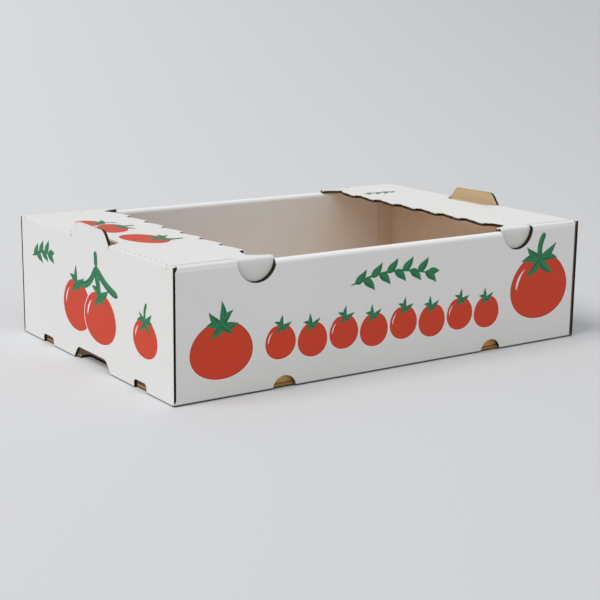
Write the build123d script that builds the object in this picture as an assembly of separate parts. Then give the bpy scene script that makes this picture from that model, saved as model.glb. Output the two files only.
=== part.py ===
"""Stackable produce tray, die-cut from one sheet of single-wall corrugated board.

The sheet is white on its printed side and kraft on the other.  The two long
walls are rolled over into double walls, and their inner panels lock into slots
in the bottom.  The two end walls are single.  Each carries an upright stacking
tab and a shelf: a flap that folds in along the perforated top crease, with a
serrated free edge and a half-round ear at each side.  The ears tuck in between
the two panels of the long walls, where a notch in the outer panel shows them.

Units are millimetres.  X runs along the tray, Y across it and Z up.  The
origin is the middle of the bottom, on the surface that the tray stands on.
"""

import os

from build123d import *

# --- Driving dimensions -------------------------------------------------

# Outside of the tray, up to the top of the shelves
tray_length = 600.0
tray_width = 400.0
tray_height = 154.0

# Corrugated board: whole thickness, one liner, and the fluted paper between liners
board = 4.0
liner = 0.5
flute_pitch = 7.6
flute_paper = 0.5
flute_crest = 1.4
flute_depth = 9.0
edge_groove_depth = 2.5

# Folds of the sheet
bottom_fold_radius = 2.0
rim_fold_radius = 3.0
rim_dip = 3.5
crease_clearance = 0.3

# Stacking tab, which stands up out of each end wall through the shelf
tab_base_width = 98.0
tab_side_slope = 12.0
tab_rise = 15.5
tab_corner_radius = 13.0
tab_kerf = 1.3
stack_clearance = 0.5
bottom_cutback = 12.0

# Shelf that folds in from the top of each end wall
shelf_depth = 118.0
shelf_side_clearance = 0.5
tooth_margin = 22.5
tooth_pitch = 46.0
tooth_depth = 9.0
tooth_return = 5.0
tooth_bulge = 1.6
tooth_shift = 7.0
flare_bulge = 3.0

# Short cuts through the outer liner along the crease, beside the tab's hole
perforation_pitch = 12.0
perforation_length = 3.0
perforation_width = 1.0
perforation_margin = 9.0

# Ear at each side of the shelf, its notch in the long wall, and the room that it
# has between the wall's two panels
ear_radius = 24.5
ear_from_end = 106.0
ear_clearance = 0.75
ear_side_clearance = 0.2
ear_fold_radius = 3.0

# Half-round cut-outs at the foot of the long walls, with the lock tabs behind
lock_spacing = 312.0
lock_cut_width = 32.0
lock_cut_height = 15.0
lock_tab_width = 26.0
lock_tab_clearance = 0.4

# Small cut-outs at the foot of the end walls
foot_cut_spacing = 246.0
foot_cut_width = 30.0
foot_cut_height = 11.0
foot_cut_radius = 5.0

# Glue flaps at the corners
glue_flap_width = 25.0
glue_flap_clearance = 0.5
corner_relief_width = 2.5
corner_relief_height = 5.0

# --- Positions worked out from the driving dimensions --------------------

half_length = tray_length / 2
half_width = tray_width / 2
end_wall_inside = half_length - board
panel_gap = board + 2 * ear_side_clearance
double_wall = 2 * board + panel_gap
outer_panel_inside = half_width - board
inner_panel_outside = outer_panel_inside - panel_gap
long_wall_inside = half_width - double_wall
hinge_x = half_length - board / 2
hinge_z = tray_height - board / 2
end_wall_top = hinge_z - board / 2 - crease_clearance
rim_height = tray_height - rim_dip
tab_top = tray_height + tab_rise
shelf_half_width = long_wall_inside - shelf_side_clearance
shelf_edge_x = hinge_x - shelf_depth
tooth_count = int(2 * (shelf_half_width - tooth_margin) / tooth_pitch)
ear_x = half_length - ear_from_end
ear_outside = outer_panel_inside - ear_side_clearance
flap_top = tray_height - board - glue_flap_clearance


def block(x_range, y_range, z_range):
    """Solid box between pairs of coordinates."""
    size_x = x_range[1] - x_range[0]
    size_y = y_range[1] - y_range[0]
    size_z = z_range[1] - z_range[0]
    corner = Location((x_range[0], y_range[0], z_range[0]))
    return corner * Box(size_x, size_y, size_z, align=(Align.MIN, Align.MIN, Align.MIN))


def plate_across_x(outline, x_start, thickness):
    """Outline drawn as (y, z), made into a plate from x_start towards +X."""
    return extrude(Plane((x_start, 0, 0), (0, 1, 0), (1, 0, 0)) * outline, thickness)


def plate_across_y(outline, y_start, thickness):
    """Outline drawn as (x, z), made into a plate from y_start towards +Y."""
    return extrude(Plane((0, y_start, 0), (1, 0, 0), (0, -1, 0)) * outline, -thickness)


# --- Outlines ------------------------------------------------------------


def tab_outline(base_z, foot_z, rise, margin):
    """Stacking tab or its notch, as (y, z): sloping sides and round top corners."""
    foot = tab_base_width / 2 + margin
    shoulder = foot - tab_side_slope
    corners = [
        (-foot, foot_z),
        (foot, foot_z),
        (foot, base_z),
        (shoulder, base_z + rise),
        (-shoulder, base_z + rise),
        (-foot, base_z),
    ]
    outline = Polygon(*corners, align=None)
    top = outline.vertices().sort_by(Axis.Y)[-2:]
    return fillet(top, tab_corner_radius)


def ear_outline(radius, top_z):
    """Half-round ear or its notch, as (x, z), with straight sides above its centre."""
    disc = Pos(ear_x, hinge_z) * Circle(radius)
    straight = Pos(ear_x, hinge_z) * Rectangle(2 * radius, 2 * radius, align=(Align.CENTER, Align.MIN))
    limit = Pos(ear_x, top_z) * Rectangle(4 * radius, 4 * radius, align=(Align.CENTER, Align.MAX))
    return (disc + straight) & limit


def rounded_cut(width, height, radius):
    """Cut-out at the foot of a wall, with two round top corners."""
    below = board
    cut = Pos(0, -below) * Rectangle(width, height + below, align=(Align.CENTER, Align.MIN))
    top = cut.vertices().sort_by(Axis.Y)[-2:]
    return fillet(top, radius)


def lock_cut():
    """Half-round cut-out over a lock tab, wider than it is high."""
    radius = lock_cut_width / 2
    drop = radius - lock_cut_height
    return Pos(0, -drop) * Circle(radius)


def open_flutes(start, end):
    """Flutes that show in a cut edge, as (across the board, along the edge).

    Each is a trapezoid with its wide side against a liner, and they alternate
    between the two liners, so the fluted paper is left standing as a zigzag.
    """
    core = board / 2 - liner
    narrow = flute_crest / 2
    wide = flute_pitch / 2 - flute_paper - narrow
    half_pitch = flute_pitch / 2
    count = 1 + int((end - start - 2 * wide) / half_pitch)
    flutes = []
    for index in range(count):
        side = 1 if index % 2 else -1
        middle = start + wide + index * half_pitch
        corners = [
            (side * core, middle - side * wide),
            (side * core, middle + side * wide),
            (side * (flute_paper - core), middle + side * narrow),
            (side * (flute_paper - core), middle - side * narrow),
        ]
        flutes.append(Polygon(*corners, align=None))
    return Sketch() + flutes


# --- Tray body -----------------------------------------------------------


def round_topped(left, bottom, width, height, radius):
    """Rectangle from a lower left corner, with its two top corners round."""
    shape = Pos(left, bottom) * Rectangle(width, height, align=(Align.MIN, Align.MIN))
    top = shape.vertices().sort_by(Axis.Y)[-2:]
    return fillet(top, radius)


def long_wall_section(top_z, fold_radius):
    """Section of the front wall, as (y, z): outer panel, rolled rim, inner panel."""
    whole = round_topped(-half_width, 0, double_wall, top_z, fold_radius)
    inner_radius = min(fold_radius, panel_gap / 2 - 0.01)
    gap = round_topped(-outer_panel_inside, board, panel_gap, top_z - 2 * board, inner_radius)
    return whole - gap


def long_wall(half_span):
    """Front wall over its whole span, with its rim lower between the ears."""
    flat_rim = long_wall_section(tray_height, rim_fold_radius)
    round_rim = long_wall_section(rim_height, double_wall / 2 - 0.01)
    side_span = half_span - ear_x
    wall = plate_across_x(round_rim, -ear_x, 2 * ear_x)
    wall += plate_across_x(flat_rim, -half_span, side_span)
    wall += plate_across_x(flat_rim, ear_x, side_span)
    return wall


def end_wall():
    """Left end wall: laps the front panel's edge, and butts against the back outer panel.

    It stops under the shelf's crease, apart from the stacking tab and the corners.
    """
    outer = (-half_length, -end_wall_inside)
    wall = block(outer, (-half_width, outer_panel_inside), (0, tray_height))
    wall -= block(outer, (-long_wall_inside, long_wall_inside), (end_wall_top, tray_height))
    tab = tab_outline(tray_height, end_wall_top, tab_rise, 0)
    return wall + plate_across_x(tab, -half_length, board)


def glue_flaps():
    """The left corners' flaps: one inside the end wall, one inside the back wall."""
    front = block(
        (-end_wall_inside, board - end_wall_inside),
        (-outer_panel_inside, glue_flap_width - outer_panel_inside),
        (board, flap_top),
    )
    back = block(
        (-end_wall_inside, glue_flap_width - end_wall_inside),
        (long_wall_inside - board, long_wall_inside),
        (board, flap_top),
    )
    return front, back


def end_wall_flutes():
    """Flutes open at the left end wall's front edge and at the tab's two sides."""
    wall_edge = Pos(-hinge_x, 0) * open_flutes(board, end_wall_top)
    wall_edge = plate_across_y(wall_edge, -half_width - board, board + flute_depth)
    shoulder = tab_base_width / 2 - tab_side_slope
    tab_edge = Pos(-hinge_x, 0) * open_flutes(tray_height, tab_top - liner)
    tab_edge = plate_across_y(tab_edge, -tab_base_width, tab_base_width - shoulder + flute_depth)
    return [wall_edge] + both_sides(tab_edge)


def back_wall_groove():
    """The long open flute along the outer panel's cut edge at the back wall's left end."""
    depth = (-half_length - board, edge_groove_depth - half_length)
    width = (outer_panel_inside + liner, half_width - liner)
    return block(depth, width, (board, tray_height - board))


def both_ends(shape):
    """A shape at the left end and its mirror image at the right end."""
    return [shape, shape.mirror(Plane.YZ)]


def both_sides(shape):
    """A shape at the front and its mirror image at the back."""
    return [shape, shape.mirror(Plane.XZ)]


def make_tray_body():
    """Bottom, rolled long walls, end walls and glue flaps: one folded sheet."""
    body = block((-half_length, half_length), (-half_width, half_width), (0, board))
    body += long_wall(end_wall_inside)
    body += long_wall(half_length).mirror(Plane.XZ)
    for wall in both_ends(end_wall()):
        body += wall
    bottom_edges = body.edges().filter_by_position(Axis.Z, 0, 0)
    body = fillet(bottom_edges, bottom_fold_radius)

    # The front wall's inner panel stops beside the glue flap.
    end_gap = (-end_wall_inside, board + lock_tab_clearance - end_wall_inside)
    inner_panel = (-outer_panel_inside, -long_wall_inside)
    for gap in both_ends(block(end_gap, inner_panel, (board, flap_top))):
        body -= gap
    for flap in glue_flaps():
        for one in both_ends(flap):
            body += one

    # Notches for the shelves' ears: half-round in the outer panels, and cut
    # straight across the rim and the inner panels, where the shelf passes over.
    notch_radius = ear_radius + ear_clearance
    notch_top = tray_height + board
    notch = ear_outline(notch_radius, notch_top)
    notch = plate_across_y(notch, -half_width - board, half_width + board - inner_panel_outside)
    pass_over = block(
        (ear_x - notch_radius, ear_x + notch_radius),
        (-half_width - board, board - long_wall_inside),
        (tray_height - board - ear_clearance, notch_top),
    )
    for piece in (notch, pass_over):
        for side in both_sides(piece):
            for one in both_ends(side):
                body -= one

    # Half-round cut-outs in the outer panels, and slots filled by the lock tabs
    cut = plate_across_y(lock_cut(), -half_width - board, 2 * board)
    cut = Pos(lock_spacing / 2, 0, 0) * cut
    slot_half = lock_tab_width / 2 + lock_tab_clearance
    slot_x = (lock_spacing / 2 - slot_half, lock_spacing / 2 + slot_half)
    slot_y = (-inner_panel_outside - lock_tab_clearance, lock_tab_clearance - long_wall_inside)
    slot = block(slot_x, slot_y, (-board, board))
    tab_x = (slot_x[0] + lock_tab_clearance, slot_x[1] - lock_tab_clearance)
    tab_y = (-inner_panel_outside, -long_wall_inside)
    tab = block(tab_x, tab_y, (lock_tab_clearance, board))
    for piece, adds in ((cut, False), (slot, False), (tab, True)):
        for side in both_sides(piece):
            for one in both_ends(side):
                body = body + one if adds else body - one

    # Wide stacking notches: through the end wall, and on into the bottom
    notch_rise = tab_rise + stack_clearance
    notch = tab_outline(0, -board, notch_rise, stack_clearance)
    notch = plate_across_x(notch, -half_length - board, 2 * board)
    cutback_half = tab_base_width / 2 + stack_clearance - tab_side_slope
    cutback = block(
        (-half_length - board, bottom_cutback - end_wall_inside),
        (-cutback_half, cutback_half),
        (-board, 2 * board),
    )
    inner_corners = cutback.edges().filter_by(Axis.Z).sort_by(Axis.X)[-2:]
    cutback = fillet(inner_corners, foot_cut_radius)
    for piece in (notch, cutback):
        for one in both_ends(piece):
            body -= one

    # Small cut-outs at the foot of the end walls
    cut = rounded_cut(foot_cut_width, foot_cut_height, foot_cut_radius)
    cut = plate_across_x(cut, -half_length - board, 2 * board)
    cut = Pos(0, foot_cut_spacing / 2, 0) * cut
    for side in both_sides(cut):
        for one in both_ends(side):
            body -= one

    # Top front corners of the front wall, cut back beside the end walls
    relief = Polygon(
        (-end_wall_inside, tray_height + board),
        (-end_wall_inside, tray_height - corner_relief_height),
        (corner_relief_width - end_wall_inside, tray_height),
        (corner_relief_width - end_wall_inside, tray_height + board),
        align=None,
    )
    relief = plate_across_y(relief, -half_width - board, 2 * board)
    for one in both_ends(relief):
        body -= one

    # Cut edges, where the board's flutes lie open
    for opening in end_wall_flutes() + [back_wall_groove()]:
        for one in both_ends(opening):
            body -= one
    return body


# --- Shelf ---------------------------------------------------------------


def shelf_outline():
    """Left shelf seen from above, without the hole that the stacking tab leaves."""
    tip_x = -shelf_edge_x
    valley_x = tip_x - tooth_depth
    neck_x = valley_x - tooth_return
    root_x = ear_radius - ear_x
    teeth_back = tooth_count * tooth_pitch / 2 + tooth_shift
    teeth_front = teeth_back - tooth_count * tooth_pitch
    neck_half = (shelf_half_width + tooth_count * tooth_pitch / 2) / 2

    lines = []
    here = (valley_x, teeth_back)
    for _ in range(tooth_count):
        tip = (tip_x, here[1] - tooth_pitch + tooth_return)
        middle = ((here[0] + tip[0]) / 2 + tooth_bulge, (here[1] + tip[1]) / 2)
        valley = (valley_x, here[1] - tooth_pitch)
        lines.append(ThreePointArc(here, middle, tip))
        lines.append(Line(tip, valley))
        here = valley

    # The edge steps back to a neck at each end, then flares out to the ear.
    front_neck = (neck_x, -neck_half)
    front_root = (root_x, -shelf_half_width)
    back_neck = (neck_x, neck_half)
    back_root = (root_x, shelf_half_width)
    lines.append(Line(here, front_neck))
    lines.append(SagittaArc(front_neck, front_root, -flare_bulge))
    lines.append(Line(front_root, (-hinge_x, -shelf_half_width)))
    lines.append(Line((-hinge_x, -shelf_half_width), (-hinge_x, shelf_half_width)))
    lines.append(Line((-hinge_x, shelf_half_width), back_root))
    lines.append(SagittaArc(back_neck, back_root, flare_bulge))
    lines.append(Line(back_neck, (valley_x, teeth_back)))
    return make_face(lines)


def make_ear():
    """Front ear of the left shelf: a strap over the rim, folded down at its end."""
    fold_height = ear_radius + board
    fold = Pos(-ear_outside, tray_height) * Rectangle(
        ear_outside - shelf_half_width, fold_height, align=(Align.MIN, Align.MAX)
    )
    inside = Pos(board - ear_outside, tray_height - board) * Rectangle(
        ear_outside, fold_height, align=(Align.MIN, Align.MAX)
    )
    outer_corner = fold.vertices().group_by(Axis.Y)[-1].sort_by(Axis.X)[:1]
    fold = fillet(outer_corner, ear_fold_radius) - inside
    bent_strip = plate_across_x(fold, -ear_x - ear_radius, 2 * ear_radius)
    outline = ear_outline(ear_radius, tray_height).mirror(Plane.YZ)
    return bent_strip & plate_across_y(outline, -ear_outside, ear_outside)


def shelf_flutes():
    """Flutes open along the left shelf's serrated edge and at its two side edges."""
    tip_x = -shelf_edge_x
    neck_x = tip_x - tooth_depth - tooth_return
    edge = open_flutes(neck_x - flute_pitch / 2, tip_x - liner)
    edge_run = shelf_half_width - flute_depth
    edge = extrude(Plane((0, -edge_run, hinge_z), (0, 0, 1), (0, 1, 0)) * edge, 2 * edge_run)
    side = open_flutes(board / 2 - hinge_x, -ear_x - ear_radius)
    side_start = -shelf_half_width - board
    side = extrude(Plane((0, side_start, hinge_z), (0, 0, 1), (0, 1, 0)) * side, board + flute_depth)
    return [edge] + both_sides(side)


def crease_perforations():
    """Short cuts in the outside of the left crease, from beside the hole to the front."""
    start = tab_base_width / 2 + tab_kerf + perforation_margin
    run = shelf_half_width - perforation_margin - start
    outward = Plane((-hinge_x, 0, hinge_z), (0, 1, 0), (-1, 0, 1))
    cuts = []
    for index in range(1 + int(run / perforation_pitch)):
        middle = -start - index * perforation_pitch
        cut = Pos(middle, 0, board / 2) * Box(perforation_length, perforation_width, board / 2)
        cuts.append(outward * cut)
    return cuts


def make_left_shelf():
    """Shelf board with a round crease end, tab hole, serrated edge and two ears."""
    shelf = extrude(Plane((0, 0, tray_height - board)) * shelf_outline(), board)
    crease = Cylinder(board / 2, 2 * shelf_half_width, rotation=(90, 0, 0))
    shelf += Pos(-hinge_x, 0, hinge_z) * crease
    for ear in both_sides(make_ear()):
        shelf += ear

    # The hole is the tab's own outline, turned into the plane of the shelf.
    hole = tab_outline(board / 2, -board, tab_rise + tab_kerf, tab_kerf)
    hole = plate_across_x(hole, -board, 2 * board)
    hole = hole.rotate(Axis.Y, 90)
    shelf -= Pos(-hinge_x, 0, hinge_z) * hole
    for opening in shelf_flutes():
        shelf -= opening
    for cut in crease_perforations():
        for one in both_sides(cut):
            shelf -= one
    return shelf


# --- Build and write -----------------------------------------------------

tray_body = make_tray_body()
left_shelf = make_left_shelf()
right_shelf = left_shelf.mirror(Plane.YZ)

os.makedirs("parts", exist_ok=True)
export_step(tray_body, "parts/tray_body.step")
export_step(left_shelf, "parts/left_shelf.step")
export_step(right_shelf, "parts/right_shelf.step")
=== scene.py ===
import bpy
import numpy as np
from mathutils import Matrix, Vector


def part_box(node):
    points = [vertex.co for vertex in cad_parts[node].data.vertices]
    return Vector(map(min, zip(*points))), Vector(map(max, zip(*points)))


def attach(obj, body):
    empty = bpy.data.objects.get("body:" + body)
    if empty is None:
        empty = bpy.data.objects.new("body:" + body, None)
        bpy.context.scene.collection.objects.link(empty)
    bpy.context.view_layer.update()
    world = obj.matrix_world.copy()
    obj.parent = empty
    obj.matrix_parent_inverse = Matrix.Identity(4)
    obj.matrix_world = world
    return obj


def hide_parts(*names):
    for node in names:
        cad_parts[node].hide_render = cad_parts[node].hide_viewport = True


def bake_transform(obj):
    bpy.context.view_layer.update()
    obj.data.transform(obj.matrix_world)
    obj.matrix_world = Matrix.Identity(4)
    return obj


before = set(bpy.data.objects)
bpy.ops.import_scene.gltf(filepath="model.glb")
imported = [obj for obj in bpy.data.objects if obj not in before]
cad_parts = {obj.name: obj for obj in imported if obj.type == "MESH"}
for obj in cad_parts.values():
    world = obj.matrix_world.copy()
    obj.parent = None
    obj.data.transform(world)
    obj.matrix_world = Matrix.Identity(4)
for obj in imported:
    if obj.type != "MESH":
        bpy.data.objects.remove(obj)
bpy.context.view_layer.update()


# ---- Tray: one folded sheet of corrugated board ------------------------------
# The sheet is coated white on its printed side and bare kraft on the other, and
# every cut edge shows the fluted paper between the two liners.  The walls and
# rims are the sheet folded or rolled over, so one skin carries all three.

board = 0.004
flute_pitch = 0.0076
double_wall = 0.0124
touch = 1e-4
sharp_fold = np.radians(35)
half_length, half_width, tab_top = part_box("tray_body")[1]
_, ear_outside, wall_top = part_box("left_shelf")[1]
inner_face = half_width - double_wall
end_inside = half_length - board
ear_middle, ear_centre, ear_fold = 0.194, 0.152, 0.003
liner_at_cut = 0.12
WHITE, KRAFT, EDGE, INSIDE = 0, 1, 2, 3


def merged(node):
    """Corners and triangles of a solid, with the corners that share a place made one."""
    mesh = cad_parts[node].data
    places = np.empty(len(mesh.vertices) * 3)
    mesh.vertices.foreach_get("co", places)
    triangles = np.empty(len(mesh.polygons) * 3, np.int64)
    mesh.polygons.foreach_get("vertices", triangles)
    corners, same = np.unique(places.reshape(-1, 3).round(5), axis=0, return_inverse=True)
    triangles = same.reshape(-1)[triangles].reshape(-1, 3)
    a, b, c = triangles.T
    return corners, triangles[(a != b) & (b != c) & (c != a)]


def panel(axis, bare, printed, phase_axis, *spans):
    """A flat part of the sheet: the axis through it, its two faces, and its flutes' axis.

    The spans are its reach along the two other axes, in their order.
    """
    box = list(spans)
    box.insert(axis, sorted((bare, printed)))
    return np.array(box), axis, bare, printed, phase_axis


def dress(name, node, panels, is_fold, cut_look, washed_to):
    """Skin of a solid, with each triangle given a finish by the panel that it lies in.

    Depth through the board is (place - bare face) / (printed face - bare face), so it
    is 0 on kraft and 1 on white, and the phase is the place across the flutes over
    their pitch.  Both are kept on the skin for the finishes to draw with, and so is
    the look of a cut: drawn hollows or modelled ones, and how wide each liner shows.
    Bare kraft nearer the tray's middle than washed_to is the paler inside, but for the
    locks at the foot of the end walls.
    """
    corners, triangles = merged(node)
    side = np.sign(corners[triangles].mean(1)[:, 0])
    mirror = np.stack([side, np.ones_like(side), np.ones_like(side)], 1)
    points = corners[triangles] * mirror[:, None]
    normal = np.cross(corners[triangles[:, 1]] - corners[triangles[:, 0]],
                      corners[triangles[:, 2]] - corners[triangles[:, 0]])
    normal = normal / np.maximum(np.linalg.norm(normal, axis=1), 1e-15)[:, None] * mirror
    middle = points.mean(1)

    slack, facing, liner = touch / 2, 0.7, 0.03
    finish = np.full(len(triangles), EDGE)
    flute = np.zeros((len(triangles), 3, 3))
    free = np.ones(len(triangles), bool)
    for box, axis, bare, printed, phase_axis in panels:
        inside = free & (middle > box[:, 0] - slack).all(1) & (middle < box[:, 1] + slack).all(1)
        depth = (points[..., axis] - bare) / (printed - bare)
        flat = inside & (np.abs(normal[:, axis]) > facing)
        finish[flat & (depth.mean(1) > 1 - liner)] = WHITE
        finish[flat & (depth.mean(1) < liner)] = KRAFT
        flute[inside, :, 0] = points[inside][..., phase_axis] / flute_pitch
        flute[inside, :, 1] = depth[inside]
        free &= ~inside
    lock = (middle[:, 0] > end_inside - touch) & (middle[:, 2] < board)
    finish[(finish == KRAFT) & (np.abs(middle[:, 1]) < washed_to) & ~lock] = INSIDE
    finish[is_fold(middle, normal)] = WHITE
    cut = cut_look(points, normal, side)

    mesh = bpy.data.meshes.new(name)
    mesh.from_pydata(corners.tolist(), [], triangles.tolist())
    for mark, numbers in (("flute", flute), ("cut", cut)):
        kept = mesh.attributes.new(mark, "FLOAT_VECTOR", "CORNER")
        kept.data.foreach_set("vector", numbers.ravel())
    for material in finishes:
        mesh.materials.append(material)
    mesh.polygons.foreach_set("material_index", finish)
    mesh.polygons.foreach_set("use_smooth", np.ones(len(triangles), bool))
    mesh.set_sharp_from_angle(angle=sharp_fold)
    skin = bpy.data.objects.new(name, mesh)
    bpy.context.collection.objects.link(skin)
    steady = skin.modifiers.new("steady", "WEIGHTED_NORMAL")
    steady.keep_sharp = True
    return skin


class Finish:
    """The nodes of a material or of the sky, added and joined one by one."""

    def __init__(self, name, kind=bpy.data.materials):
        self.owner = kind.new(name)
        self.owner.use_nodes = True
        self.nodes = self.owner.node_tree.nodes

    def feed(self, node, values):
        """Gives each named socket a value, or joins it to the socket that feeds it."""
        for socket, value in dict(values).items():
            if isinstance(value, bpy.types.NodeSocket):
                self.owner.node_tree.links.new(value, node.inputs[socket])
            else:
                node.inputs[socket].default_value = value

    def add(self, kind, values=(), **settings):
        """One node with its settings and its sockets' values."""
        node = self.nodes.new(kind)
        for key, value in settings.items():
            setattr(node, key, value)
        self.feed(node, values)
        return node

    def math(self, operation, *values, **settings):
        """A sum, product or other step on numbers."""
        node = self.add("ShaderNodeMath", enumerate(values), operation=operation, **settings)
        return node.outputs[0]

    def times(self, product, *shares):
        """Product of numbers."""
        for share in shares:
            product = self.math("MULTIPLY", product, share)
        return product

    def over(self, value, limit):
        """1 where a number is over its limit, and 0 elsewhere."""
        return self.math("GREATER_THAN", value, limit)

    def under(self, value, limit):
        """1 where a number is under its limit, and 0 elsewhere."""
        return self.math("LESS_THAN", value, limit)

    def ramp(self, value, low, high, at_low, at_high, **settings):
        """Number that goes from at_low to at_high while the value goes from low to high."""
        values = {0: value, 1: low, 2: high, 3: at_low, 4: at_high}
        return self.add("ShaderNodeMapRange", values, **settings).outputs[0]

    def parts(self, vector):
        """The three numbers of a vector."""
        return self.add("ShaderNodeSeparateXYZ", {0: vector}).outputs

    def mark(self, name):
        """The three numbers that a piece keeps under a name."""
        return self.parts(self.add("ShaderNodeAttribute", attribute_name=name).outputs["Vector"])

    def place(self):
        """Place on the object, as one vector."""
        return self.add("ShaderNodeTexCoord").outputs["Object"]

    def flutes(self):
        """The flutes' wave, sin(2 pi phase), and the depth through the board."""
        phase, depth, _ = self.mark("flute")
        return self.math("SINE", self.times(phase, 2 * np.pi)), depth

    def noise(self, scale, stretch=(1, 1, 1), detail=3.0, roughness=0.55):
        """Noise on object coordinates, drawn out along an axis by a stretch below 1."""
        place = self.add("ShaderNodeMapping", {"Vector": self.place(), "Scale": stretch}).outputs[0]
        values = {"Vector": place, "Scale": scale, "Detail": detail, "Roughness": roughness}
        return self.add("ShaderNodeTexNoise", values).outputs[0]

    def blend(self, factor, first, second):
        """Colour between two, by a factor from 0 to 1."""
        values = {0: factor, 6: first, 7: second}
        return self.add("ShaderNodeMix", values, data_type="RGBA").outputs[2]

    def finish(self, colour, roughness, height=None, relief=0.0, specular=0.5):
        """Sends colour, roughness and relief, in metres, to the surface."""
        values = {"Base Color": colour, "Roughness": roughness, "Specular IOR Level": specular}
        if height is not None:
            raised = {"Height": height, "Distance": relief, "Strength": 1.0}
            values["Normal"] = self.add("ShaderNodeBump", raised).outputs[0]
        self.feed(self.nodes["Principled BSDF"], values)
        return self.owner


def white_liner(name="white_liner", slotted=False):
    """Clay-coated liner: near white, faintly mottled, with the flutes just showing through.

    The rolled rims carry a painted highlight and the ears painted shade, and the long
    walls' outsides have painted shade towards their foot and their white inside a painted
    warm shade towards the corners.  A painted contact shadow lies dark along the fold at
    the foot.  On the front the liner is torn back from the right end's cut, and beside the
    ears a dark crescent is painted, partly a wider cut edge and partly shade in the notch.
    A crease is slotted where its mark says: at each whole step along it, on a row beside
    its middle, and painted shade greys its bend.
    """
    f = Finish(name)
    wave, _ = f.flutes()
    cloud = f.noise(9, detail=4)
    fibre = f.noise(900, (1, 0.3, 1), detail=2)
    colour = f.blend(cloud, (0.775, 0.775, 0.755, 1), (0.815, 0.815, 0.80, 1))
    colour = f.blend(f.times(fibre, 0.10), colour, (0.62, 0.60, 0.55, 1))
    right, back, up = f.parts(f.place())
    aside, off_middle = f.math("ABSOLUTE", right), f.math("ABSOLUTE", back)

    within_walls = f.under(aside, end_inside)
    below_shelf = f.under(up, wall_top - ear_fold)
    on_rim = f.over(off_middle, inner_face + 5 * touch)
    rim_low, rim_high, ear_low, ear_high, half_ear = 0.1465, 0.1495, 0.1445, 0.1505, 0.0248
    # painted highlight along the rolled rims, brighter towards their top
    rolled = f.times(f.ramp(up, rim_low, rim_high, 0.0, 0.8), below_shelf, on_rim, within_walls)
    with_rim_highlight = f.blend(rolled, colour, (0.93, 0.93, 0.94, 1))
    # painted shade on the ears, which sit recessed in the rim's notches, lighter at their top fold
    ear_shaded_colour = f.blend(f.ramp(up, ear_low, ear_high, 0.38, 0.0), colour, (0.57, 0.555, 0.51, 1))
    on_ear = f.times(f.math("COMPARE", off_middle, ear_outside, 3 * touch),
                     f.math("COMPARE", aside, ear_middle, half_ear))
    colour = f.blend(on_ear, with_rim_highlight, ear_shaded_colour)

    outside = f.over(off_middle, half_width - 3 * touch)
    # painted shade on the long walls' outsides, darker towards the foot
    foot_shade_top = 0.09
    painted_foot_shade = f.times(f.ramp(up, 0.0, foot_shade_top, 0.20, 0.0), outside)
    colour = f.blend(painted_foot_shade, colour, (0.52, 0.51, 0.48, 1))
    inside = f.math("SUBTRACT", 1.0, f.over(off_middle, inner_face + 2 * touch))
    # painted warm shade on the white inside of the long walls towards the corners, for light thrown
    # back from the kraft
    warm_shade_start, warm_shade_full = 0.10, 0.27
    painted_warm_shade = f.times(f.ramp(aside, warm_shade_start, warm_shade_full, 0.0, 0.32), inside, below_shelf,
                      within_walls)
    colour = f.blend(painted_warm_shade, colour, (0.80, 0.56, 0.38, 1))

    front = f.under(back, touch - half_width)
    torn_width = 0.0016
    torn = f.times(f.over(right, end_inside - torn_width), front)
    colour = f.blend(torn, colour, (0.10, 0.065, 0.038, 1))
    # painted dark crescent beside each ear on the front: partly a wider cut edge, partly the shade
    # in the notch
    notch_radius, notch_shift, notch_drop = 0.0253, 0.0010, 0.0005
    off_notch = f.math("SUBTRACT", right, f.times(f.math("SIGN", right), ear_middle))
    off_notch = f.math("SUBTRACT", off_notch, notch_shift)
    over_notch = f.math("SUBTRACT", up, ear_centre - notch_drop)
    reach = f.math("ADD", f.times(off_notch, off_notch), f.times(over_notch, over_notch))
    notch_edge_and_shade = f.times(f.under(reach, notch_radius ** 2), front)
    colour = f.blend(notch_edge_and_shade, colour, (0.035, 0.022, 0.013, 1))

    # painted contact shadow: dark along the fold at the foot, higher on the long walls
    long_wall = f.over(off_middle, half_width - board)
    painted_contact_shadow = f.math("MAXIMUM", f.ramp(up, 0.0010, 0.0022, 0.92, 0.0),
                     f.times(f.ramp(up, 0.0018, 0.0027, 0.96, 0.0), long_wall))
    colour = f.blend(painted_contact_shadow, colour, (0.03, 0.03, 0.03, 1))
    if slotted:
        row, half_row, bend, half_bend, half_slot = 0.0024, 0.0006, 0.0016, 0.0016, 0.12
        step, run, _ = f.mark("mark")
        off_slot = f.math("ABSOLUTE", f.math("SUBTRACT", f.math("FRACT", step), 0.5))
        off_row = f.math("ABSOLUTE", f.math("SUBTRACT", run, row))
        slot = f.times(f.under(off_slot, half_slot), f.under(off_row, half_row))
        # painted shade greys the bend of the crease
        off_bend = f.math("ABSOLUTE", f.math("ADD", run, bend))
        bent = f.times(f.ramp(off_bend, half_bend / 4, half_bend, 0.5, 0.0), f.under(run, -1e-6))
        colour = f.blend(bent, colour, (0.62, 0.62, 0.61, 1))
        colour = f.blend(slot, colour, (0.06, 0.055, 0.05, 1))
    height = f.math("ADD", f.times(wave, 0.5), f.times(fibre, 0.35))
    roughness = f.math("MULTIPLY_ADD", cloud, 0.12, 0.5)
    return f.finish(colour, roughness, height, 0.00004, 0.4)


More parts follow.
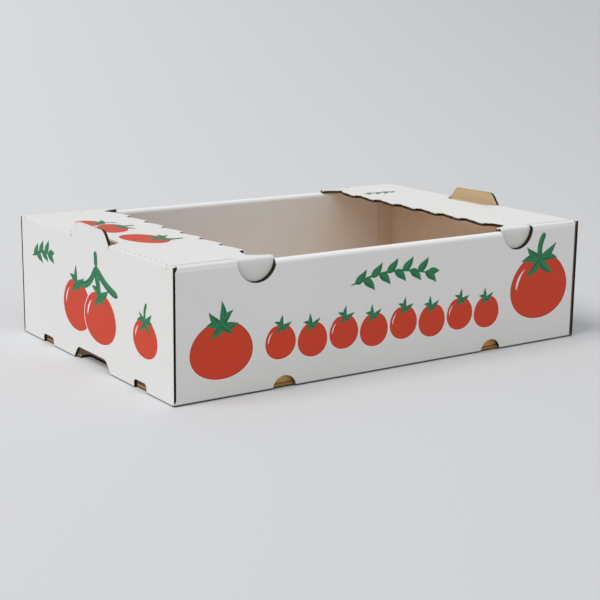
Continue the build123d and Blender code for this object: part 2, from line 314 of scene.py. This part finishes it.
def kraft_liner(name, light, dark, fleck, painted_lock_light=0.0, washed=0.0):
    """Kraft paper: matt, clouded from light to dark, flecked with fibres, over felt flutes.

    Raw kraft with painted lock light is redder below 18 mm, at the locks, for warm light
    between the cut's faces, with painted shade below 4 mm and a painted shadow dark in
    the corner at its foot.
    Washed kraft stays brown on the stacking tabs, above the shelves' crease, and has painted
    shade along the foot of the end walls, over the opening for the tab of the tray below.
    """
    f = Finish(name)
    wave, _ = f.flutes()
    cloud = f.noise(14, detail=5)
    fibre = f.noise(700, (1, 0.25, 0.5), detail=4, roughness=0.7)
    pulp = f.noise(160, (1, 0.5, 1), detail=5, roughness=0.75)
    right, _, up = f.parts(f.place())

    colour = f.blend(cloud, dark, light)
    valley = f.math("MULTIPLY_ADD", wave, 0.05, 0.05)
    for share in (f.times(fibre, 0.30), valley, f.ramp(pulp, 0.35, 0.75, 0.0, 0.30)):
        colour = f.blend(share, colour, fleck)
    tab_foot, tab_clear = 0.1505, 0.1535
    rubbed = f.times(f.ramp(up, tab_foot, tab_clear, 0.0, 0.85), washed)
    colour = f.blend(rubbed, colour, (0.54, 0.395, 0.20, 1))
    # painted warm light between the locks' cut faces, painted shade below 4 mm and a painted shadow
    # at the foot
    tints = [(0.014, 0.022, (0.93, 0.50, 0.17, 1)), (0.0040, 0.0042, (0.34, 0.20, 0.07, 1)),
             (0.0016, 0.0024, (0.05, 0.028, 0.012, 1))]
    for low, high, tint in tints:
        colour = f.blend(f.ramp(up, low, high, painted_lock_light, 0.0), colour, tint)
    # painted shade along the foot of the end walls, inside
    end_shade_start, end_shade_full, end_shade_top = 0.276, 0.288, 0.0060
    near_end = f.ramp(f.math("ABSOLUTE", right), end_shade_start, end_shade_full, 0.0, 0.55)
    painted_end_shade = f.times(near_end, f.ramp(up, 0.0042, end_shade_top, washed, 0.0))
    colour = f.blend(painted_end_shade, colour, (0.07, 0.055, 0.04, 1))
    height = f.math("ADD", f.times(wave, 0.6), f.times(fibre, 0.6))
    return f.finish(colour, 0.8, height, 0.00008, 0.25)


def cut_edge():
    """Cut board: two liners, and the fluted paper as a wave between them over dark hollows.

    The paper lies where depth = 0.5 + 0.36 sin(2 pi phase), and is 0.18 of the board thick.
    """
    swing, half_paper, half_hollow = 0.36, 0.09, 0.38
    f = Finish("cut_edge")
    wave, depth = f.flutes()
    drawn, bare_width, white_width = f.mark("cut")
    paper = f.math("MULTIPLY_ADD", wave, swing, 0.5)
    off_paper = f.math("ABSOLUTE", f.math("SUBTRACT", depth, paper))
    off_middle = f.math("ABSOLUTE", f.math("SUBTRACT", depth, 0.5))
    hollow = f.times(f.over(off_paper, half_paper), f.under(off_middle, half_hollow), drawn)
    fibre = f.noise(1300, detail=4, roughness=0.7)
    colour = f.blend(fibre, (0.016, 0.010, 0.005, 1), (0.075, 0.045, 0.021, 1))
    colour = f.blend(hollow, colour, (0.012, 0.008, 0.004, 1))
    in_white = f.over(f.math("ADD", depth, white_width), 1.0)
    colour = f.blend(in_white, colour, (0.74, 0.71, 0.65, 1))
    colour = f.blend(f.under(depth, bare_width), colour, (0.60, 0.55, 0.45, 1))
    return f.finish(colour, 0.9, fibre, 0.0001, 0.2)


finishes = [
    white_liner(),
    kraft_liner("kraft_liner", (0.66, 0.48, 0.265, 1), (0.57, 0.405, 0.215, 1),
                (0.38, 0.26, 0.13, 1), painted_lock_light=0.85),
    cut_edge(),
    kraft_liner("washed_kraft_liner", (0.83, 0.685, 0.56, 1), (0.78, 0.635, 0.51, 1),
                (0.60, 0.46, 0.36, 1), washed=1.0),
]

tall = (0.0, tab_top)
above_bottom = (board, wall_top)
half_span = (0, half_length)
tray_panels = [panel(0, end_inside, half_length, 2, (-half_width, half_width - board), tall)]
for way in (-1, 1):
    tray_panels.append(panel(1, way * (half_width - board), way * half_width, 0, half_span, tall))
    tray_panels.append(panel(1, way * (inner_face + board), way * inner_face, 0, half_span, tall))
tray_panels += [
    panel(0, end_inside - board, end_inside, 1, (-half_width, 0), above_bottom),
    panel(1, inner_face - board, inner_face, 2, (0, end_inside), above_bottom),
    panel(2, board, 0, 0, half_span, (-half_width, half_width)),
]


def tray_fold(place, normal):
    """Rolled rims, the folds round the bottom, and the end walls' upper corners."""
    rim = (place[:, 2] > wall_top - double_wall) & (np.abs(place[:, 1]) > inner_face - touch)
    rim &= (normal[:, 2] > 0.1) & (np.abs(normal[:, 0]) < 0.1)
    rim &= (normal[:, 2] < 0.99) | (place[:, 2] > wall_top - board)
    foot = (place[:, 2] < board / 2) & (normal[:, 2] < -0.1)
    foot &= (place[:, 0] < end_inside) | (place[:, 1] > board / 2 - half_width)
    corner = (np.abs(place[:, 2] - wall_top) < touch) & (normal[:, 2] > 0.9)
    return rim | foot | corner


def tray_cut_look(points, normal, side):
    """Hollows are modelled at the end walls' fronts and the tabs, and drawn on other cuts.

    On a tab's top the die rolls the white liner over the cut, more towards the back.
    The glue flaps' thin cuts are pressed pale against the wall.  No white liner is left
    at the right end's front cut and round the front's ears.
    """
    outer_part, half_tab, below_ears, flap_start, flap_side = 0.003, 0.031, 0.12, 0.24, 0.1
    x, y, z = np.moveaxis(points, 2, 0)
    within = x < end_inside - touch
    drawn = within | ((z < 5 * board) & (y > board - half_width))
    drawn |= (x > half_length - outer_part) & (y > half_width - board - touch)
    on_top = (z > tab_top - 3 * touch) & (normal[:, 2:] > 0.9)
    rolled_over = np.interp(y, (-half_tab, half_tab), (0.35, 1.3))
    white = np.where(on_top, rolled_over, liner_at_cut)
    worn = ((side[:, None] > 0) & (x > end_inside)) | ((z > below_ears) & (x < end_inside))
    white = np.where(worn & (y < board - half_width), 0.0, white)
    flap = within & (x > flap_start) & (y > flap_side) & (y < inner_face) & (z < wall_top - board)
    bare = np.where(flap, 0.95, 0.0)
    return np.stack([drawn, bare, white], 2)


tray = dress("tray_board", "tray_body", tray_panels, tray_fold, tray_cut_look, inner_face + touch)
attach(tray, "tray")
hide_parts("tray_body")


# ---- Shelves: the flaps that fold in from the end walls -----------------------
# Each is part of the same sheet, printed side up, with a serrated free edge, a
# hole that the stacking tab was cut from, and a half-round ear at each side that
# folds down over the long wall's rim.

beside_corner = 0.1870
below_top = (0, wall_top)
shelf_panels = [panel(1, way * (ear_outside - board), way * ear_outside, 0, half_span, below_top)
                for way in (-1, 1)]
shelf_panels.append(panel(2, wall_top - board, wall_top, 0, half_span, (-half_width, half_width)))


def shelf_fold(place, normal):
    """The round crease at the end wall and the round fold down to each ear."""
    crease = (place[:, 0] > half_length - board / 2) & (np.abs(normal[:, 1]) < 0.5)
    ear = (np.abs(place[:, 1]) > ear_outside - board) & (place[:, 2] > wall_top - board)
    return crease | (ear & (normal[:, 2] > 0.02) & (np.abs(normal[:, 0]) < 0.1))


def shelf_cut_look(points, normal, side):
    """Hollows are modelled at the serrated edge and both sides; the liner laps the tab's hole."""
    half_hole, teeth_end = 0.0504, 0.1975
    x, y, z = np.moveaxis(points, 2, 0)
    near_crease = x > half_length - 7 * board
    drawn = near_crease | (z < wall_top - board - touch)
    hole = near_crease & (np.abs(y) < half_hole)
    serrated = (x < teeth_end) & (np.abs(y) < beside_corner + 2 * touch)
    white = np.where(hole, 0.75, np.where(serrated, 0.28, liner_at_cut))
    return np.stack([drawn, 0 * z, white], 2)


for side in ("left", "right"):
    shelf = dress(side + "_shelf_board", side + "_shelf", shelf_panels, shelf_fold, shelf_cut_look,
                  half_width)
    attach(shelf, side + "_shelf")
    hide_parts(side + "_shelf")


# ---- Liner laps: where the white liner runs on over a crease or a cut -------------
# The liner bends over each crease in one piece, with a row of short perforations
# beside the tab's hole that helps the board to fold.  It also laps the shelves' cut
# sides and the left front corner, a tenth of a millimetre proud of the board.

crease_x = half_length - board / 2
crease_z = wall_top - board / 2
beside_hole = 0.0507
perforation_pitch, first_perforation = 0.012, 0.0593
lapping_liner = white_liner("lapping_liner", slotted=True)


def lap(name, line, outward, run, stations, to_place, steps=None):
    """Closed skin over a strip of board: a line across it, repeated at stations along it.

    A place is line + outward x proud, with proud = 0.01 + 0.11 sin(pi t)^0.5 mm from
    one border to the other, and 0.005 mm on the side towards the board.
    """
    border, rise, under = 0.00001, 0.00011, 0.000005
    t = np.linspace(0, 1, len(line))
    proud = border + rise * np.sin(np.pi * t) ** 0.5
    loop = np.concatenate([line + outward * proud[:, None], line[::-1] + outward[::-1] * under])
    rows, columns = len(stations), len(loop)
    u, v = np.moveaxis(np.broadcast_to(loop, (rows, columns, 2)), 2, 0)
    places = to_place(u, v, np.broadcast_to(stations[:, None], (rows, columns)))
    steps = np.zeros(rows) if steps is None else steps
    runs = np.concatenate([run, run[::-1]])
    marks = np.stack(np.broadcast_arrays(steps[:, None], runs[None], 0.0), 2)
    around = np.arange(columns)
    here = np.arange(rows - 1)[:, None] * columns + around
    after = np.arange(rows - 1)[:, None] * columns + np.roll(around, -1)
    quads = np.stack([here, after, after + columns, here + columns], 2).reshape(-1, 4)
    half = np.arange(len(line) - 1)
    cap = np.stack([half, columns - 1 - half, columns - 2 - half, half + 1], 1)
    faces = np.concatenate([quads, cap, cap[:, ::-1] + (rows - 1) * columns])
    a, b, c = places[0, 0], places[0, 1], places[1, 0]
    if np.cross(b - a, c - a) @ (a - places[0, -1]) < 0:
        faces = faces[:, ::-1]
    mesh = bpy.data.meshes.new(name)
    mesh.from_pydata(places.reshape(-1, 3).tolist(), [], faces.tolist())
    kept = mesh.attributes.new("mark", "FLOAT_VECTOR", "POINT")
    kept.data.foreach_set("vector", marks.ravel())
    mesh.materials.append(lapping_liner)
    mesh.polygons.foreach_set("use_smooth", np.ones(len(faces), bool))
    mesh.set_sharp_from_angle(angle=sharp_fold)
    skin = bpy.data.objects.new(name, mesh)
    bpy.context.collection.objects.link(skin)
    return skin


def bent_line(before, after):
    """A line that runs straight, round a quarter turn of half the board, and straight on.

    The turn is (-reach cos a, reach sin a) about the origin, for a from 0 to a quarter turn.
    """
    up = np.linspace(-before, 0.0, 6)[:-1]
    turn = np.linspace(0, np.pi / 2, 11)
    on = np.linspace(0.0, after, 7)[1:]
    outward = np.concatenate([np.tile([-1.0, 0.0], (len(up), 1)),
                              np.stack([-np.cos(turn), np.sin(turn)], 1),
                              np.tile([0.0, 1.0], (len(on), 1))])
    line = outward * board / 2
    line[:len(up), 1] += up
    line[-len(on):, 0] += on
    run = np.concatenate([up - np.pi * board / 4, (turn - np.pi / 2) * board / 2, on])
    return line, outward, run


def crease_lap(name, end, side, slots):
    """Lap that bends with the shelf, from the end wall's face to the shelf's top."""
    down_wall, along_top = 0.0050, 0.0055
    line, outward, run = bent_line(down_wall, along_top)
    stations = np.linspace(beside_hole, beside_corner, 40)
    steps = np.minimum((stations - first_perforation) / perforation_pitch + 0.5, slots)
    skin = lap(name, line, outward, run, stations,
               lambda u, v, y: np.stack([end * (crease_x - u), side * y, crease_z + v], 2), steps)
    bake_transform(skin)


def side_lap(name, shelf, end, side):
    """Lap down a shelf's cut side, between the crease and the ear, but for its lowest part."""
    rounding, down, ear_root = 0.0002, 0.0032, 0.2190
    turn = np.linspace(0, np.pi / 2, 5)
    outward = np.concatenate([[[-1.0, 0.0]], np.stack([-np.cos(turn), np.sin(turn)], 1),
                              [[0.0, 1.0]] * 3])
    line = outward * rounding
    line[0, 1] -= down
    line[-3:, 0] += (0.0008, 0.0016, 0.0026)
    stations = np.linspace(ear_root, crease_x - 3 * rounding, 12)
    edge_y, edge_z = beside_corner - rounding / 2, wall_top - rounding
    skin = lap(name, line, outward, 0 * line[:, 0], stations,
               lambda u, v, x: np.stack([end * x, side * (edge_y - u), edge_z + v], 2))
    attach(skin, shelf)


for end, shelf in ((-1, "left_shelf"), (1, "right_shelf")):
    for side, half, slots in ((-1, "_front", 99), (1, "_back", 1)):
        crease_lap(shelf + half + "_crease", end, side, slots)
        side_lap(shelf + half + "_side", shelf, end, side)

across = np.linspace(-0.2967, -0.2920, 8)
corner_line = np.stack([across, 0 * across], 1)
corner_outward = np.stack([0 * across, 1 + 0 * across], 1)
corner = lap("corner_lap", corner_line, corner_outward, 0 * across, np.linspace(0.0021, 0.1488, 12),
             lambda u, v, z: np.stack([u, -half_width - v, z], 2))
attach(corner, "tray")


# ---- Print on the front and back walls -----------------------------------------
# Flat inks laid on the white liner: red fruit, green leaves and stalks, and bare
# white highlights.  Each ink is a closed film a few hundredths of a millimetre
# thick, and a film printed over another lies just above it.

film = 0.00002
RED, GREEN, PLAIN = 0, 1, 2


def flat_film(outline, tone, layer, ink):
    """Closed film over an outline: rows run from its middle to its rim and back beneath.

    A point is middle + reach x (outline - middle) at the layer's height, where reach
    is 0 at the two poles and 1 on the upper and the lower rim.  The tone keeps the
    place in the shape, and reach as its third number.
    """
    top, under = 1.0, 0.3
    middle = outline.mean(0)
    reach = np.array([0.0, 1.0, 1.0, 0.0])[:, None, None]
    level = (layer + np.array([top, top, under, under])[:, None, None]) * film
    flat = middle + reach * (outline - middle)
    tones = tone.mean(0) + reach * (tone - tone.mean(0))
    grid = np.concatenate([flat, np.broadcast_to(level, flat.shape[:2] + (1,))], 2)
    tones = np.concatenate([tones, np.broadcast_to(reach, flat.shape[:2] + (1,))], 2)
    return grid, tones, ink


def fruit(centre, width, height, lean=0.0, layer=1, grow=0.0, ink=RED):
    """Tomato: an oval with a dip at its crown.

    With a as the angle from the crown, reach = 1 - 0.09 exp(-(a / 0.3)^2) + 0.02 cos 3a.
    """
    angle = np.linspace(-np.pi, np.pi, 96, endpoint=False)
    reach = 1 - 0.09 * np.exp(-(angle / 0.3) ** 2) + 0.02 * np.cos(3 * angle)
    tone = np.stack([-np.sin(angle), np.cos(angle)], 1) * reach[:, None]
    outline = tone * [width / 2 + grow, height / 2 + grow]
    turn = np.array([[np.cos(lean), np.sin(lean)], [-np.sin(lean), np.cos(lean)]])
    return [flat_film(outline @ turn + centre, tone, layer, ink)]


def blade(root, tip, width, bend=0.0, layer=3, ink=GREEN, blunt=False):
    """Leaf or stalk along a bent line from root to tip.

    The line is a parabola that bows sideways by bend x its length.  Half the width
    goes as sin(pi t^0.7) on a leaf, and as (1 - |2t - 1|^6)^0.5 on a blunt stalk.
    The section across it is a flat ellipse, from 0.3 to 1 of a film above its layer.
    """
    root, tip = np.array(root), np.array(tip)
    t = np.linspace(0, 1, 25)[:, None]
    along = tip - root
    side = np.array([-along[1], along[0]])
    line = root + t * along + 4 * t * (1 - t) * bend * side
    run = along + 4 * (1 - 2 * t) * bend * side
    left = np.stack([-run[:, 1], run[:, 0]], 1) / np.linalg.norm(run, axis=1)[:, None]
    half = (1 - np.abs(2 * t - 1) ** 6) ** 0.5 if blunt else np.sin(np.pi * t ** 0.7)
    angle = np.linspace(0, 2 * np.pi, 10, endpoint=False)[None, :, None]
    spread = -np.cos(angle)
    flat = line[:, None] + left[:, None] * spread * half[:, None] * width / 2
    level = (layer + 0.65 + 0.35 * np.sin(angle)) * film + 0 * t[:, None]
    tones = np.stack([spread[..., 0] + 0 * t, t + 0 * spread[..., 0], 0 * t * spread[..., 0]], 2)
    return [(np.concatenate([flat, level], 2), tones, ink)]


def calyx(centre, reach, count, lean=0.0, parting=0.0, layer=3):
    """Fan of leaves over the crown, each an eighth of a film over the one before.

    With a as the angle from upright, a leaf's length is reach x (0.82 + 0.22 cos a), or
    reach x (0.66 + 0.44 |sin a|) where a stalk parts them, and 0.1 x reach more or less.
    """
    films = []
    for index in range(count):
        angle = 1.45 * np.pi * (index / (count - 1) - 0.5)
        angle += parting * np.sign(angle) * (1 - np.abs(angle) / 2.3)
        length = 0.66 + 0.44 * abs(np.sin(angle)) if parting else 0.82 + 0.22 * np.cos(angle)
        length = reach * (length + 0.1 * np.sin(2.4 * index + 1))
        way = np.array([np.sin(angle + lean), np.cos(angle + lean)])
        films += blade(centre - 0.1 * length * way, centre + length * way, 0.36 * reach,
                       0.08 * (-1) ** index, layer + index / 8)
    return films


def tomato(centre, width, height, stalk=0.0, lean=0.0, layer=1, leaves=7, reach=0.31, bow=0.12,
           glint=True):
    """Fruit with its calyx, a stalk and a curved highlight on its upper left."""
    crown = np.add(centre, [0.42 * height * np.sin(lean), 0.42 * height * np.cos(lean)])
    films = fruit(centre, width, height, lean, layer, grow=0.0014, ink=PLAIN)
    films += fruit(centre, width, height, lean, layer + 1)
    films += calyx(crown, reach * width, leaves, lean, 0.6 if stalk else 0.0, layer + 2)
    if stalk:
        top = np.add(crown, [stalk * np.sin(lean + 0.2), stalk * np.cos(lean + 0.2)])
        films += blade(crown, top, 0.085 * width, bend=bow, layer=layer + 3, blunt=True)
    if glint:
        low = np.add(centre, [-0.40 * width, -0.02 * height])
        high = np.add(centre, [-0.25 * width, 0.30 * height])
        films += blade(low, high, 0.036 * width, bend=0.12, layer=layer + 2, ink=PLAIN)
    return films


def sprig(start, stop, leaves, size):
    """Bowed twig with leaves in turn above and below it, and one at its tip.

    Its line is the blade's parabola, and leaf n grows from it at t = (n + 0.6) / leaves.
    """
    bow, stem = 0.08, 0.0028
    start, stop = np.array(start), np.array(stop)
    along = stop - start
    side = np.array([-along[1], along[0]])
    films = blade(start, stop, stem, bend=bow, blunt=True)
    for index in range(leaves):
        t = (index + 0.6) / leaves
        root = start + t * along + 4 * t * (1 - t) * bow * side
        way = (-1) ** index
        tip = root + size * (0.75 * along + way * 0.66 * side) / np.linalg.norm(along)
        films += blade(root, tip, 0.44 * size, bend=-0.1 * way, layer=2 + (index % 3) / 4)
    tip = stop + size * along / np.linalg.norm(along) * 0.8
    return films + blade(stop, tip, 0.40 * size, bend=0.05, layer=1.75)


def red_ink():
    """Red ink: flat, with a thin deeper line at the rim, and dry over the paper's grain."""
    f = Finish("red_ink")
    reach = f.mark("tone")[2]
    rim = f.ramp(reach, 0.955, 0.985, 0.0, 0.7, interpolation_type="SMOOTHSTEP")
    speckle = f.noise(1600, detail=2)
    cloud = f.noise(30, detail=3)
    colour = f.blend(cloud, (0.605, 0.046, 0.016, 1), (0.655, 0.055, 0.020, 1))
    colour = f.blend(rim, colour, (0.44, 0.024, 0.014, 1))
    dry = f.times(f.over(speckle, 0.66), 0.12)
    colour = f.blend(dry, colour, (0.75, 0.2, 0.13, 1))
    return f.finish(colour, 0.5, speckle, 0.00001, 0.25)


def green_ink():
    """Green ink: deep in the leaf, lighter on one half and along its midrib."""
    f = Finish("green_ink")
    spread = f.mark("tone")[0]
    rib = f.times(f.under(f.math("ABSOLUTE", spread), 0.12), 0.35)
    speckle = f.noise(1600, detail=2)
    half = f.times(f.over(spread, 0.0), 0.5)
    colour = f.blend(half, (0.016, 0.150, 0.062, 1), (0.030, 0.26, 0.105, 1))
    colour = f.blend(rib, colour, (0.07, 0.36, 0.15, 1))
    return f.finish(colour, 0.5, speckle, 0.00001, 0.25)


def bare_ink():
    """White left between inks."""
    f = Finish("bare_white")
    colour = f.blend(f.noise(9, detail=4), (0.79, 0.79, 0.77, 1), (0.83, 0.83, 0.81, 1))
    return f.finish(colour, 0.5, specular=0.3)


inks = [red_ink(), green_ink(), bare_ink()]


def print_on(name, body, origin, right, up, films):
    """One printed design: films drawn as (right, up) on a face, made one mesh.

    A point is origin + right x a + up x b + outward x level.  In a film's grid the
    first and last rows are poles, and each other row closes on itself.
    """
    right, up = np.array(right, float), np.array(up, float)
    outward = np.cross(right, up)
    places, tones, faces, ink_of = [], [], [], []
    count = 0
    for grid, tone, ink in films:
        rows, columns = grid.shape[:2]
        flat = np.concatenate([grid[0, :1], grid[1:-1].reshape(-1, 3), grid[-1, :1]])
        places.append(origin + flat[:, :1] * right + flat[:, 1:2] * up + flat[:, 2:] * outward)
        tones.append(np.concatenate([tone[0, :1], tone[1:-1].reshape(-1, 3), tone[-1, :1]]))
        here = 1 + count + np.arange((rows - 2) * columns).reshape(rows - 2, columns)
        after = np.roll(here, -1, axis=1)
        last = count + 1 + here.size
        quads = np.stack([here[:-1], here[1:], after[1:], after[:-1]], 2).reshape(-1, 4).tolist()
        caps = np.stack([np.full(columns, count), here[0], after[0]], 1).tolist()
        caps += np.stack([np.full(columns, last), after[-1], here[-1]], 1).tolist()
        faces += quads + caps
        ink_of += [ink] * (len(quads) + len(caps))
        count = last + 1
    mesh = bpy.data.meshes.new(name)
    mesh.from_pydata(np.concatenate(places).tolist(), [], faces)
    kept = mesh.attributes.new("tone", "FLOAT_VECTOR", "POINT")
    kept.data.foreach_set("vector", np.concatenate(tones).ravel())
    for material in inks:
        mesh.materials.append(material)
    mesh.polygons.foreach_set("material_index", np.array(ink_of))
    piece = bpy.data.objects.new(name, mesh)
    bpy.context.collection.objects.link(piece)
    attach(piece, body)


def long_wall_design():
    """A large tomato near each end, a row of small ones between, and a sprig over them."""
    films = tomato((-0.2395, 0.0555), 0.081, 0.0665, glint=False)
    films += tomato((0.235, 0.0745), 0.098, 0.085, stalk=0.034, leaves=6, reach=0.31)
    small, spacing = 8, 0.0441
    for index in range(small):
        way = (-1) ** index
        films += tomato((-0.162 + spacing * index, 0.0535 + 0.0015 * way), 0.0412, 0.0415,
                        leaves=5, reach=0.34, lean=0.1 * way, glint=way > 0)
    return films + sprig((-0.066, 0.108), (0.050, 0.112), 10, 0.023)


for way, name in ((-1, "front_print"), (1, "back_print")):
    print_on(name, "tray", (0, way * half_width, 0), (-way, 0, 0), (0, 0, 1),
             long_wall_design())


# ---- Print on the end walls -----------------------------------------------------
# Two tomatoes hang from one forked stalk, one before the other, beside a small one,
# and a sprig fills the upper corner.  The inks are the same as on the long walls.


def end_wall_design():
    """Forked stalk with two tomatoes, a small tomato, and a sprig in the corner."""
    films = tomato((-0.037, 0.0675), 0.075, 0.064, leaves=5)
    films += tomato((0.025, 0.0635), 0.0815, 0.063, layer=5, leaves=5)
    fork = (0.016, 0.124)
    films += blade((0.015, 0.142), fork, 0.0085, bend=0.05, layer=8, blunt=True)
    films += blade(fork, (-0.030, 0.095), 0.0085, bend=0.16, layer=8.125, blunt=True)
    films += blade(fork, (0.028, 0.091), 0.0085, bend=-0.10, layer=8.25, blunt=True)
    films += blade(fork, (0.072, 0.098), 0.0095, bend=-0.08, layer=8.375, blunt=True)
    films += tomato((0.1365, 0.063), 0.057, 0.046, stalk=0.022, leaves=6)
    return films + sprig((-0.166, 0.107), (-0.116, 0.117), 6, 0.022)


for way, name in ((-1, "left_end_print"), (1, "right_end_print")):
    print_on(name, "tray", (way * half_length, 0, 0), (0, way, 0), (0, 0, 1),
             end_wall_design())


# ---- Print on the shelves --------------------------------------------------------
# Three tomatoes lie in a row behind the left stacking tab, and a sprig lies near
# the back of the right shelf.  Both stand upright as seen from outside the end wall.

shelf_fruit = tomato((-0.100, 0.050), 0.045, 0.031, stalk=0.020, leaves=5, reach=0.42, lean=0.3,
                     glint=False)
shelf_fruit += tomato((-0.052, 0.057), 0.063, 0.038, stalk=0.018, leaves=5, reach=0.32,
                      lean=-0.3, layer=3.5, glint=False)
shelf_fruit += tomato((0.030, 0.058), 0.072, 0.046, stalk=0.026, leaves=6, reach=0.30, lean=0.3,
                      bow=-0.25, glint=False)
shelf_sprig = sprig((0.130, 0.041), (0.131, 0.089), 7, 0.015)
for way, shelf, films in ((-1, "left_shelf", shelf_fruit), (1, "right_shelf", shelf_sprig)):
    print_on(shelf + "_print", shelf, (way * half_length, 0, wall_top), (0, way, 0),
             (-way, 0, 0), films)


# ---- Studio: pale floor, soft light, camera -------------------------------------
# The tray stands on a wide pale sheet with painted shade, greyer towards the right and far off.
# A broad lamp high on the left, a weak one in front and an even grey sky light it.
# Seen directly, the sky is a paler backdrop.

floor_reach = 60.0
floor_mesh = bpy.data.meshes.new("floor")
corners = [(-floor_reach, -floor_reach, 0), (floor_reach, -floor_reach, 0),
           (floor_reach, floor_reach, 0), (-floor_reach, floor_reach, 0)]
floor_mesh.from_pydata(corners, [], [(0, 1, 2, 3)])
floor = bpy.data.objects.new("floor", floor_mesh)
bpy.context.collection.objects.link(floor)
f = Finish("floor")
place = f.place()
distance = f.add("ShaderNodeVectorMath", {0: place}, operation="LENGTH").outputs[1]
to_right = {0: place, 1: (0.824, -0.566, 0.0)}
aside = f.add("ShaderNodeVectorMath", to_right, operation="DOT_PRODUCT").outputs[1]
aside = f.math("MINIMUM", f.math("DIVIDE", aside, f.math("ADD", distance, 1.5)), 0.28)
fall = f.math("DIVIDE", distance, f.math("ADD", distance, 3.0))
# painted shade: the floor darkens towards the right and with distance
shade = f.times(f.math("ADD", aside, 0.22), f.math("MULTIPLY_ADD", fall, 0.14, 0.06), 4.0)
floor_colour = f.blend(shade, (0.70, 0.71, 0.725, 1), (0.19, 0.20, 0.21, 1))
floor_mesh.materials.append(f.finish(floor_colour, 0.9, specular=0.1))

sky = Finish("studio", bpy.data.worlds)
path = sky.add("ShaderNodeLightPath").outputs
reflected = sky.math("ADD", path["Is Glossy Ray"], path["Is Transmission Ray"])
seen = sky.math("ADD", path["Is Camera Ray"], reflected, use_clamp=True)
backdrop = sky.blend(seen, (0.49, 0.495, 0.50, 1), (0.62, 0.635, 0.65, 1))
sky.feed(sky.nodes["Background"], {"Color": backdrop, "Strength": 1.0})
bpy.context.scene.world = sky.owner

lamps = [("key", 1.72, 35, (-0.58, 0.03, 0.81)), ("fill", 0.25, 40, (-0.15, -0.75, 0.65))]
for lamp_name, energy, spread, toward in lamps:
    lamp = bpy.data.objects.new(lamp_name, bpy.data.lights.new(lamp_name, "SUN"))
    lamp.data.energy = energy
    lamp.data.angle = np.radians(spread)
    lamp.rotation_euler = Vector(toward).to_track_quat("Z", "Y").to_euler()
    bpy.context.collection.objects.link(lamp)

camera_place = np.array([-0.9950, -1.4519, 0.4443])
turn, dip, lean = np.radians([34.452, 12.772, 0.677])
forward = np.array([np.sin(turn) * np.cos(dip), np.cos(turn) * np.cos(dip), -np.sin(dip)])
level = np.array([np.cos(turn), -np.sin(turn), 0.0])
upright = np.cross(level, forward)
right = np.cos(lean) * level + np.sin(lean) * upright
up = np.cos(lean) * upright - np.sin(lean) * level
camera = bpy.data.objects.new("camera", bpy.data.cameras.new("camera"))
camera.data.sensor_width = 36
camera.data.lens = 82.64
camera.data.clip_end = 200
view = np.eye(4)
view[:3] = np.stack([right, up, -forward, camera_place], 1)
camera.matrix_world = Matrix(view.tolist())
bpy.context.collection.objects.link(camera)
bpy.context.scene.camera = camera
bpy.context.scene.view_settings.view_transform = "Standard"
